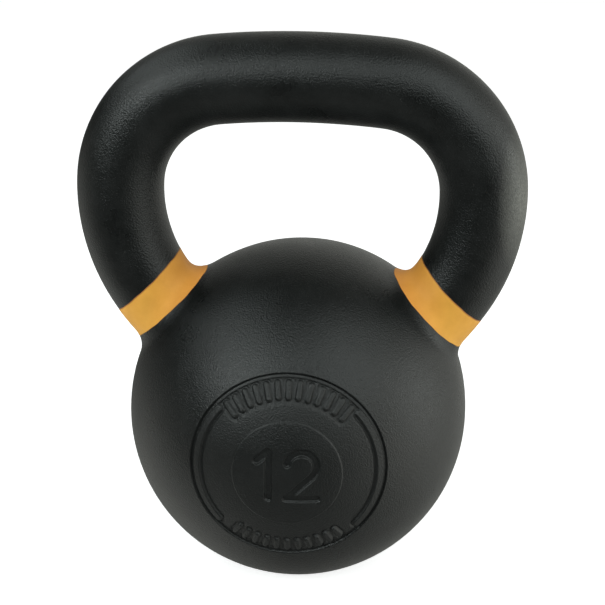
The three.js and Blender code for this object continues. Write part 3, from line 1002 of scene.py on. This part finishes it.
def studio_backdrop():
    """A white drum round the whole set. It is there for the camera alone and throws no light, so
    the room's light stays as it is."""
    turns = np.linspace(0, 2 * math.pi, 96, endpoint=False)
    level = 0 * turns - FLOOR_DROP / FLOOR_REACH
    foot = np.stack([np.cos(turns), np.sin(turns), level], -1) * FLOOR_REACH
    points = np.concatenate([foot, foot + [0, 0, FLOOR_REACH]])
    here = np.arange(len(turns))
    beside = np.roll(here, -1)
    faces = np.stack([here, beside, beside + len(turns), here + len(turns)], -1)
    material, _, shader, _ = new_material("backdrop_paper", Roughness=1.0)
    shader.inputs["Base Color"].default_value = (0, 0, 0, 1)
    shader.inputs["Emission Color"].default_value = (1, 1, 1, 1)
    shader.inputs["Emission Strength"].default_value = 1.0
    material.cycles.emission_sampling = "NONE"
    drum = stage_sheet("studio_backdrop", points.tolist(), faces.tolist(), material)
    drum.visible_diffuse = False


studio_floor()
studio_backdrop()

# %% Camera
from mathutils import Matrix, Vector

CAMERA_RISE = math.radians(18.98)
CAMERA_ROUND = math.radians(3.30)
CAMERA_ROLL = math.radians(0.78)
CAMERA_AWAY = 626.62 * MM
LOOKED_AT = (1.78 * MM, 42.87 * MM)
LENS, SENSOR = 89.595, 36


def studio_camera():
    """The camera's axes are the right, up and back directions at its angles, then turned by its roll.
    It looks past the ball's centre by a given way to the right and up."""
    right = Vector((math.cos(CAMERA_ROUND), math.sin(CAMERA_ROUND), 0))
    level = math.cos(CAMERA_RISE)
    back = Vector((math.sin(CAMERA_ROUND) * level, -math.cos(CAMERA_ROUND) * level, math.sin(CAMERA_RISE)))
    up = back.cross(right)
    rolled_right = right * math.cos(CAMERA_ROLL) + up * math.sin(CAMERA_ROLL)
    rolled_up = up * math.cos(CAMERA_ROLL) - right * math.sin(CAMERA_ROLL)
    looked_at = Vector(BALL_CENTRE) + LOOKED_AT[0] * rolled_right + LOOKED_AT[1] * rolled_up
    place = looked_at + CAMERA_AWAY * back
    data = bpy.data.cameras.new("studio_camera")
    data.lens = LENS
    data.sensor_width = SENSOR
    camera = bpy.data.objects.new("studio_camera", data)
    turned = Matrix((rolled_right, rolled_up, back)).transposed().to_4x4()
    camera.matrix_world = Matrix.Translation(place) @ turned
    bpy.context.collection.objects.link(camera)
    bpy.context.scene.camera = camera


studio_camera()


# %% Lights
LIGHTS_AWAY = 1.2
LIGHT_COLOUR = (0.92, 1.0, 0.98)
ROOM_COLOUR = (0.98, 1.0, 0.93, 1)


def direction(turn, rise):
    """The unit vector at a turn to the right of the front and a rise above level, both in degrees."""
    turn, rise = math.radians(turn), math.radians(rise)
    return Vector((math.sin(turn) * math.cos(rise), -math.cos(turn) * math.cos(rise), math.sin(rise)))


def softbox(name, turn, rise, width, height, brightness):
    """A rectangular light that faces the ball. An evenly bright sheet gives off pi times its area
    times its brightness in watts."""
    data = bpy.data.lights.new(name, "AREA")
    data.shape = "RECTANGLE"
    data.size = width
    data.size_y = height
    data.energy = math.pi * width * height * brightness
    data.color = LIGHT_COLOUR
    light = bpy.data.objects.new(name, data)
    light.location = Vector(BALL_CENTRE) + LIGHTS_AWAY * direction(turn, rise)
    light.rotation_euler = (-direction(turn, rise)).to_track_quat("-Z", "Y").to_euler()
    light.visible_camera = False
    bpy.context.collection.objects.link(light)


softbox("key_strip", -41, 26, 0.86, 0.13, 9.4)
softbox("front_bank", -31, 42, 1.15, 0.66, 1.45)
softbox("right_softbox", 42, 40, 0.96, 1.21, 1.5)
softbox("rim_strip", 92, 10, 0.20, 0.60, 3.0)
softbox("left_softbox", -95, 50, 1.24, 0.80, 1.15)

# %% Room light
def slope(tree, ray, towards, start, steepness):
    """Light that grows from nothing along a direction: steepness times the part past its start."""
    along = add_node(tree, "VectorMath", operation="DOT_PRODUCT")
    tree.links.new(ray, along.inputs[0])
    along.inputs[1].default_value = towards
    past = calculate(tree, "MULTIPLY_ADD", along.outputs["Value"], steepness, -start * steepness)
    return calculate(tree, "MAXIMUM", past, 0)


def studio_world():
    """The room is dark in front and brighter behind, with a pale wall low on either side, another at
    the back and a pale table top below."""
    world = bpy.data.worlds.new("studio_world")
    world.use_nodes = True
    tree = world.node_tree
    ray = add_node(tree, "TexCoord").outputs["Generated"]
    light = slope(tree, ray, direction(125, 5), -0.1, 0.5)
    right_wall = direction(79, -8), 0.70, 2.8
    left_wall = direction(-110, -37), 0.70, 1.9
    back_wall = direction(180, 15), 0.85, 1.2
    table = direction(-20, -62), 0.6, 0.45
    for wall in right_wall, left_wall, back_wall, table:
        light = calculate(tree, "ADD", light, slope(tree, ray, *wall))
    background = tree.nodes["Background"]
    background.inputs["Color"].default_value = ROOM_COLOUR
    tree.links.new(light, background.inputs["Strength"])
    bpy.context.scene.world = world


studio_world()
bpy.context.scene.view_settings.view_transform = "Standard"
